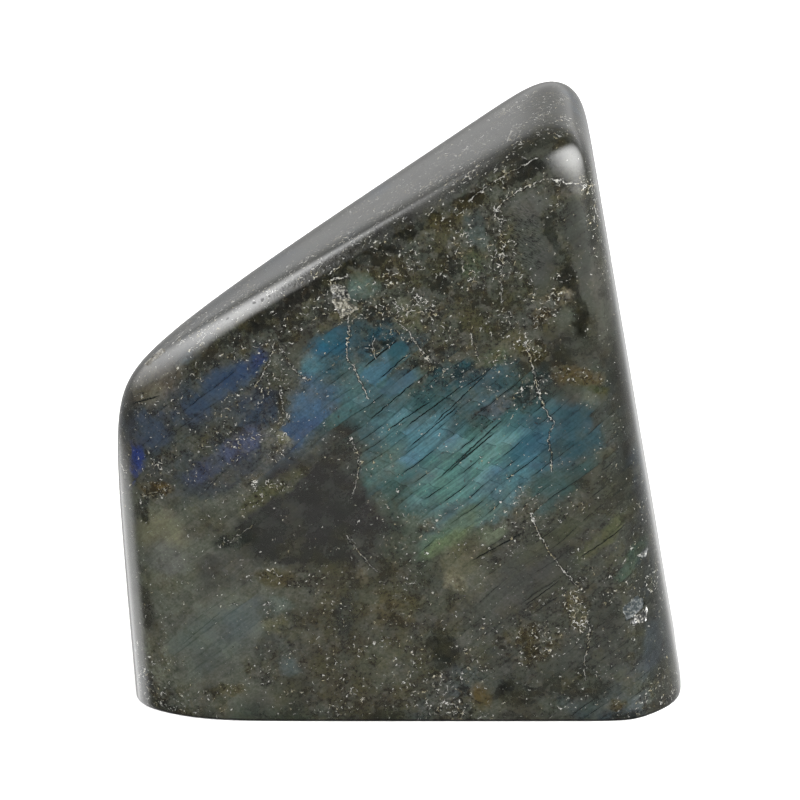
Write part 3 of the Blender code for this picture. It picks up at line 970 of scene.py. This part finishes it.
# Long dark splits along the cleavage of the front, from one end to the other: a to i cross the teal, j to
# l lie below it on the right, and m and n on the left
splits = {
    "a": split((-4.5, 62.6), (1.7, 68.2)),
    "b": split((-6.9, 64.7), (-0.4, 70.5), 0.22),
    "c": split((-6.4, 54.9), (2.9, 63.4)),
    "d": split((-3.2, 53.4), (5.2, 59.5)),
    "e": split((-0.5, 53.7), (10.8, 62.6)),
    "f": split((0.3, 50.1), (9.6, 58.6)),
    "g": split((6.6, 45.4), (16.1, 54.1), 0.2),
    "h": split((4.5, 54.3), (15.0, 65.2)),
    "i": split((4.6, 43.7), (18.1, 57.2), 0.2, 0.85),
    "j": split((10.9, 29.5), (21.0, 35.6)),
    "k": split((20.4, 21.3), (27.0, 26.7), 0.14),
    "l": split((29.4, 30.2), (37.9, 37.1), 0.14),
    "m": split((-38.1, 13.9), (-30.3, 21.0), 0.12, 0.4),
    "n": split((-46.0, 58.3), (-40.0, 60.1), 0.2),
    "underStep": split((37.4, 18.3), (41.4, 22.6), 0.3, 1.0),
    "besideStep": split((41.6, 31.6), (42.9, 23.6), 0.2, 0.9),
}


def tone(hexColour):
    # The stone's colours are written as they look in this studio, whose light on its front is strong
    return paint(hexColour, 1 / labradorite["light"])


def addTone(tree, colour, cloud, row, share=None, clamp=False):
    # One more tone where a cloud is high, with a share of its own where one is given
    hexColour, start, end, most = row
    mask = fade(tree, cloud, start, end, 0.0, most)
    if share is not None:
        mask = times(tree, mask, share, clamp=clamp)
    return mixColour(tree, mask, colour, tone(hexColour))


def addPatches(tree, obj, place, steppedPlace, colour, nature):
    # A patch with cleavage lines steps from stripe to stripe, and the others have no steps
    spotGroup, blockGroup = makeSpotGroup(), makeBlockGroup()
    for name, patch in patches.items():
        middle, _ = onStone(obj, patch["at"])
        length, height = patch["size"]
        shape = {
            "place": steppedPlace if patch["lines"] >= 0.3 else place, "middle": middle,
            "turn": math.radians(patch["turn"]), "edge": patch["edge"],
            "halfSize": (length, max(patchDepth, length), height), "strength": patch["strength"],
        }
        if patch["square"] > 2 or patch["taper"]:
            corners = {"squareness": patch["square"], "taper": patch["taper"]}
            mask = useGroup(tree, blockGroup, **corners, **shape)["Mask"]
        else:
            mask = useGroup(tree, spotGroup, **shape)["Mask"]
        mask.node.label = name
        colour = mixColour(tree, mask, colour, tone(patch["colour"]))
        nature = mixNode(tree, "VECTOR", mask, nature, (patch["clear"], patch["lines"], patch["bricks"]))
    return colour, nature


def hatchBrightness(tree, obj, place):
    # Fine ripples across the grey column, like brush strokes
    middle, _ = onStone(obj, hatching["at"])
    around = aroundMark(tree, place, middle, math.radians(hatching["lean"]), hatching["halfSize"])
    reach = calcVector(tree, "LENGTH", around)
    along = turned(tree, place, math.radians(hatching["turn"]))
    strokes = noiseAt(tree, calcVector(tree, "MULTIPLY", along, hatching["strokes"]), 1.0, 2.0, 0.6)
    return times(tree, swung(tree, strokes, hatching["depth"]), fade(tree, reach, 1.2, 0.7))


def addCracks(tree, obj, place):
    group = makeCrackGroup()
    line, rim, near = 0.0, 0.0, 0.0
    for name, mark in cracks.items():
        middle, half, along, across = lineOnStone(obj, mark["line"])
        out = useGroup(
            tree, group, place=place, middle=middle, along=along, across=across, halfLength=half,
            bow=mark["bow"], sway=mark["sway"], width=mark["width"] / 2, halo=mark["halo"],
        )
        out["Line"].node.label = name
        line = larger(tree, line, times(tree, out["Line"], mark["strength"]))
        rim = larger(tree, rim, out["Rim"])
        near = larger(tree, near, out["Near"])
    return line, rim, near


def addSplits(tree, obj, place):
    group = makeSplitGroup()
    dark = 0.0
    for name, mark in splits.items():
        middle, half, along, across = lineOnStone(obj, mark["line"])
        line = useGroup(
            tree, group, place=place, middle=middle, along=along / half, across=across, width=mark["width"]
        )["Line"]
        line.node.label = name
        dark = larger(tree, dark, times(tree, line, mark["strength"]))
    return dark


def stoneBrightness(tree, obj, place, planes, bricks, lines, grainy, grain):
    # Each brick has a brightness of its own, fine streaks run along it, and the ground is grainy
    tint = minus(tree, planes["Brick Share"], 0.5)
    tint = plus(tree, tint, swung(tree, planes["Stripe Share"], 0.6))
    tint = timesPlus(tree, planes["Slope"], 0.5, tint)
    brightness = timesPlus(tree, times(tree, tint, bricks), 0.55, 1.0)
    streak = swung(tree, planes["Streaks"], 1.1)
    brightness = plus(tree, brightness, times(tree, streak, timesPlus(tree, lines, 0.7, 0.3)))
    swing = swung(tree, grain, 2.8)
    brightness = plus(tree, brightness, times(tree, swing, timesPlus(tree, grainy, 0.7, 0.3)))
    brightness = plus(tree, brightness, hatchBrightness(tree, obj, place))
    return larger(tree, brightness, 0.15)


def addChips(tree, place, colour):
    # Chips are dull and grainy, with white crumbs and dark steps in them
    chipped = tree.nodes.new("ShaderNodeAttribute")
    chipped.attribute_name = "chipped"
    painted = tree.nodes.new("ShaderNodeAttribute")
    painted.attribute_name = "chipColour"
    broke = fade(tree, chipped.outputs["Fac"], 0.02, 0.15)
    crumbs = timesPlus(tree, noiseAt(tree, place, 1.4, 1.0), 0.5, noiseAt(tree, place, 0.32, 1.0))
    crumbly = painted.outputs["Alpha"]
    dark = times(tree, fade(tree, crumbs, 0.76, 0.66), crumbly)
    chipTone = mixColour(tree, dark, painted.outputs["Color"], tone(labradorite["darkCrumbs"]))
    pale = times(tree, fade(tree, crumbs, 0.8, 0.88, 0.0, 0.8), crumbly)
    chipTone = mixColour(tree, pale, chipTone, tone(labradorite["paleCrumbs"]))
    return mixColour(tree, broke, colour, chipTone), broke


def addPits(tree, obj, place, jittered, colour):
    # Pits and pinholes, a rougher rim at the base painted black as contact shadow, and painted shade
    # on the foot above it
    pitsAndShade = fade(tree, noiseAt(tree, jittered, noiseSizes["pinholes"], 0.0), 0.79, 0.83, 0.0, 0.8)
    for across, up, half in pits:
        middle, _ = onStone(obj, (across, up))
        spot = calcVector(tree, "DISTANCE", jittered, middle)
        pitsAndShade = larger(tree, pitsAndShade, fade(tree, spot, half, 0.5 * half))
    height = calcVector(tree, "DOT_PRODUCT", place, (0.0, 0.0, 1.0))
    # the rim at the base is made rougher and painted black as contact shadow
    rimFrom, rimTo, rimWearAndShade = labradorite["rimWearAndShadow"]
    pitsAndShade = larger(tree, pitsAndShade, fade(tree, height, rimFrom, rimTo, 0.0, rimWearAndShade))
    # painted shade darkens the foot above it
    footFrom, footTo, shaded = labradorite["footShade"]
    paintedFootShade = fade(tree, height, footFrom, footTo, 0.0, shaded)
    for mask in (paintedFootShade, pitsAndShade):
        colour = mixColour(tree, mask, colour, tone(labradorite["pitsAndShade"]))
    return colour, pitsAndShade


def addPolish(tree, obj, shader, place, broke, pitsAndShade):
    # The polish is a little uneven, duller on the ridge, and gone in chips and pits
    swing = labradorite["unevenPolish"]
    clouds = noiseAt(tree, place, noiseSizes["polish"], 3.0, 0.6)
    rough = timesPlus(tree, clouds, swing, labradorite["roughness"] - swing / 2)
    ridge = labradorite["dullRidge"]
    middle, _ = onStone(obj, ridge["at"])
    around = aroundMark(tree, place, middle, math.radians(ridge["turn"]), ridge["halfSize"])
    dull = fade(tree, calcVector(tree, "LENGTH", around), 1.3, 0.6)
    rough = mixValue(tree, dull, rough, labradorite["dullRoughness"])
    rough = mixValue(tree, larger(tree, broke, pitsAndShade), rough, labradorite["brokenRoughness"])
    tree.links.new(rough, shader.inputs["Roughness"])
    shader.inputs["IOR"].default_value = labradorite["ior"]
    bump = tree.nodes.new("ShaderNodeBump")
    bump.inputs["Strength"].default_value = labradorite["bumpStrength"]
    bump.inputs["Distance"].default_value = labradorite["bumpDistance"] * mm
    tree.links.new(noiseAt(tree, place, noiseSizes["bump"], 2.0, 0.6), bump.inputs["Height"])
    tree.links.new(bump.outputs["Normal"], shader.inputs["Normal"])


def makeLabradorite(obj):
    stuff = bpy.data.materials.new("polishedLabradorite")
    stuff.use_nodes = True
    tree = stuff.node_tree
    shader = tree.nodes["Principled BSDF"]
    coordinates = tree.nodes.new("ShaderNodeTexCoord")
    place = scaled(tree, coordinates.outputs["Object"], 1 / mm)
    depth = calcVector(tree, "DOT_PRODUCT", place, (0.0, 1.0, 0.0))
    front = fade(tree, depth, labradorite["frontFrom"], labradorite["frontTo"])

    # ground: cloudy dark olive and grey
    colour = tone(labradorite["ground"])
    clouds = threeClouds(tree, place, noiseSizes["clouds"], 3.0)
    for cloud, row in zip(clouds, labradorite["clouds"]):
        colour = addTone(tree, colour, cloud, row)

    # faint blue and green clouds all through it, and dark ones
    flashes = threeClouds(tree, place, noiseSizes["flashes"], 3.0)
    most = mixValue(tree, front, labradorite["flashesElsewhere"], labradorite["flashesInFront"])
    for cloud, row in zip(flashes, labradorite["flashes"]):
        colour = addTone(tree, colour, cloud, (*row, most))
    colour = addTone(tree, colour, flashes[2], labradorite["darkCloud"])

    planes = useGroup(
        tree, makeCleavageGroup(), place=place, turn=math.radians(cleavagePlanes["turn"]),
        spacing=cleavagePlanes["spacing"], brick=cleavagePlanes["brick"], width=cleavagePlanes["width"],
    )

    # patches, their edges shifted stripe by stripe and made ragged
    wander = wandering(tree, place, noiseSizes["wander"], 3.0)
    jitter = wandering(tree, place, noiseSizes["jitter"], 2.0)
    moved = pushed(tree, pushed(tree, place, wander, 4.0), jitter, 1.2)
    stepped = pushed(tree, moved, planes["Shift"], 4.5)
    clearGround = fade(tree, flashes[2], 0.4, 0.58, 0.0, 0.8)
    linedGround = fade(tree, flashes[0], 0.5, 0.62, 0.1, 0.8)
    nature = combined(tree, clearGround, linedGround, 0.3)
    colour, nature = addPatches(tree, obj, moved, stepped, colour, nature)
    clear, lines, bricks = threeParts(tree, nature)
    variety = threeClouds(tree, pushed(tree, place, jitter, 1.5), noiseSizes["variety"])
    unclear = minus(tree, 1.05, times(tree, clear, 0.8))
    for cloud, row in zip(variety, labradorite["variety"]):
        colour = addTone(tree, colour, cloud, row, unclear)
    grainy = minus(tree, timesPlus(tree, clouds[0], 0.8, 0.6), clear, clamp=True)

    # grains of brown, dark and grey feldspar between
    jittered = calcVector(tree, "ADD", place, jitter)
    grains = threeClouds(tree, jittered, noiseSizes["grains"])
    for cloud, row in zip(grains, labradorite["grains"]):
        colour = addTone(tree, colour, cloud, row, grainy, clamp=True)

    # the flashes change between green and blue from place to place
    hue = plus(tree, variety[1], times(tree, planes["Brick Share"], 0.25))
    shift = mixColour(tree, fade(tree, hue, 0.45, 0.8), labradorite["greenShift"], labradorite["blueShift"])
    colour = mixColour(tree, times(tree, bricks, 1.2, clamp=True), colour, shift, "MULTIPLY")
    grain = noiseAt(tree, place, noiseSizes["fineGrain"], 3.0, 0.75)
    bright = stoneBrightness(tree, obj, place, planes, bricks, lines, grainy, grain)
    colour = mixColour(tree, 1.0, colour, combined(tree, bright, bright, bright), "MULTIPLY")

    # painted shade on faces turned away from the front, darkest at the sides; the flashes fade there too
    shape = tree.nodes.new("ShaderNodeNewGeometry")
    facing = calcVector(tree, "DOT_PRODUCT", shape.outputs["Normal"], (0.0, -1.0, 0.0))
    paintedSideShade = times(tree, fade(tree, facing, 0.94, 0.6, 0.0, 0.55), fade(tree, facing, -0.2, -0.8, 1.0, 0.3))
    colour = mixColour(tree, paintedSideShade, colour, tone(labradorite["unlit"]))

    # splits and healed cracks
    crooked = pushed(tree, place, jitter, 1.2)
    crooked = pushed(tree, crooked, combined(tree, grain, 0.0, grain), 0.5)
    marks = (*addCracks(tree, obj, crooked), addSplits(tree, obj, pushed(tree, place, jitter, 0.5)))
    crackLine, crackRim, nearCrack, darkSplit = (times(tree, mark, front) for mark in marks)
    shownLines = larger(tree, times(tree, planes["Lines"], lines), darkSplit)
    colour = mixColour(tree, shownLines, colour, tone(labradorite["split"]))

    # painted glints crowd along the cracks and in cloudy places
    crowd = fade(tree, noiseAt(tree, place, noiseSizes["crowd"], 3.0, 0.7), 0.42, 0.62, 0.3, 1.0)
    amount = timesPlus(tree, times(tree, crowd, grainy), 1.1, -0.4)
    amount = timesPlus(tree, nearCrack, 0.35, amount)
    glints = useGroup(tree, makeGlintGroup(), place=crooked, amount=amount)
    # painted shade around the glints' dashes, with a dark rim along each crack
    shaded = larger(tree, times(tree, glints["Shade"], 0.75), times(tree, crackRim, 0.65))
    colour = mixColour(tree, shaded, colour, tone(labradorite["unlit"]))
    broken = fade(tree, grain, 0.44, 0.56, 0.1, 1.0)
    # the healed cracks' own pale lines, and the painted glints in the same tones
    white = larger(tree, times(tree, crackLine, broken), glints["Mask"])
    glintTones = (tone(hexColour) for hexColour in labradorite["glints"])
    colour = mixColour(tree, white, colour, mixColour(tree, fade(tree, grains[0], 0.45, 0.65), *glintTones))

    colour, broke = addChips(tree, place, colour)
    colour, pitsAndShade = addPits(tree, obj, place, jittered, colour)
    tree.links.new(colour, shader.inputs["Base Color"])
    addPolish(tree, obj, shader, place, broke, pitsAndShade)
    return stuff


def makeStone():
    obj = copyOfCad()
    smoothAndWave(obj)
    breakChips(obj)
    obj.data.materials.append(makeLabradorite(obj))
    selectOnly(obj)
    bpy.ops.object.shade_smooth_by_angle(angle=math.radians(stone["sharpAngle"]))
    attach(obj, "root")
    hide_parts(cadNode)
    triangles = sum(len(face.vertices) - 2 for face in obj.data.polygons)
    print("stone:", len(obj.data.polygons), "faces,", triangles, "triangles")


bpy.context.scene.view_settings.view_transform = "Standard"
makeCamera()
makeRoom()
makeFloor()
for name, box in softboxes.items():
    makeSoftbox(name, box)
print("studio ready")
makeStone()
